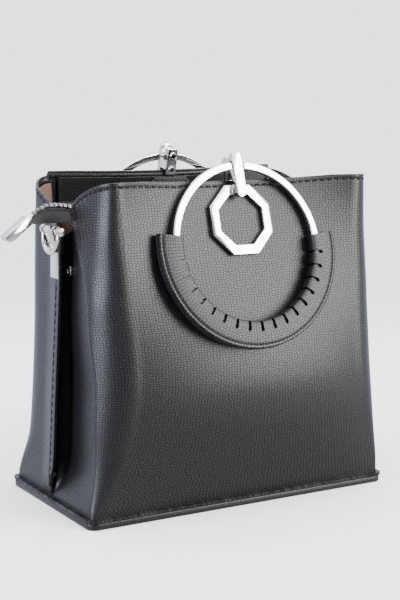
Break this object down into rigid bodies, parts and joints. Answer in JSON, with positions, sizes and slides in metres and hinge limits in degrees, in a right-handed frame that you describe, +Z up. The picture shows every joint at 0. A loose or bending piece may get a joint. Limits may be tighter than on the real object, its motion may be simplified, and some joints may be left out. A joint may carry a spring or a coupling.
{
  "type": "ring handle handbag",
  "caption": "Structured leather handbag with a zip top, metal ring handles with sewn leather grips hung from links on the top edge, and strap shackles on its sides.",
  "frame": {"origin": "middle of the base, on the surface the bag stands on", "axes": "+Z up, +X along the width away from the loose end of the zip, -Y out of the front"},
  "size_m": [0.2651, 0.16, 0.2384],
  "materials": {
    "bag_leather": "black embossed grain leather, half matte",
    "grip_leather": "black smooth-grain leather, sewn near its outer edge",
    "lining_cloth": "brown woven lining",
    "zip_tape": "black woven zip tape",
    "dark_metal": "dark plated metal",
    "polished_nickel": "polished nickel"
  },
  "bodies": {
    "bag": {"front_panel": "bag_leather", "back_panel": "bag_leather", "base_panel": "bag_leather", "zip_facing_front": "bag_leather", "zip_facing_back": "bag_leather", "handle_patch_front": "bag_leather", "handle_patch_back": "bag_leather", "lining_left": "lining_cloth", "lining_right": "lining_cloth", "zip_tape": "zip_tape", "zip_teeth": "dark_metal", "zip_slider": "dark_metal", "side_stud_left": "dark_metal", "side_stud_right": "dark_metal", "zip_end_cap": "polished_nickel", "octagon_front": "polished_nickel", "octagon_back": "polished_nickel", "link_front": "polished_nickel", "link_back": "polished_nickel", "link_screw_front_upper": "polished_nickel", "link_screw_front_lower": "polished_nickel", "link_screw_back_upper": "polished_nickel", "link_screw_back_lower": "polished_nickel", "strap_tab_left": "polished_nickel", "strap_tab_right": "polished_nickel"},
    "front_handle": {"ring_front": "polished_nickel", "grip_front": "grip_leather"},
    "back_handle": {"ring_back": "polished_nickel", "grip_back": "grip_leather"},
    "left_shackle": {"shackle_left": "polished_nickel", "shackle_pin_left": "polished_nickel"},
    "right_shackle": {"shackle_right": "polished_nickel", "shackle_pin_right": "polished_nickel"}
  },
  "joints": [
    {"name": "front_handle_swing", "type": "hinge", "parent": "bag", "child": "front_handle", "pos_m": [0, -0.04413, 0.22744], "axis": [-1, 0, 0], "range_deg": [0, 180]},
    {"name": "back_handle_swing", "type": "hinge", "parent": "bag", "child": "back_handle", "pos_m": [0, 0.05133, 0.22865], "axis": [1, 0, 0], "range_deg": [0, 180]},
    {"name": "left_shackle_swing", "type": "hinge", "parent": "bag", "child": "left_shackle", "pos_m": [-0.114, -0.0013, 0.1862], "axis": [0, 1, 0], "range_deg": [0, 75]},
    {"name": "right_shackle_swing", "type": "hinge", "parent": "bag", "child": "right_shackle", "pos_m": [0.114, -0.0013, 0.1862], "axis": [0, -1, 0], "range_deg": [0, 150]}
  ]
}
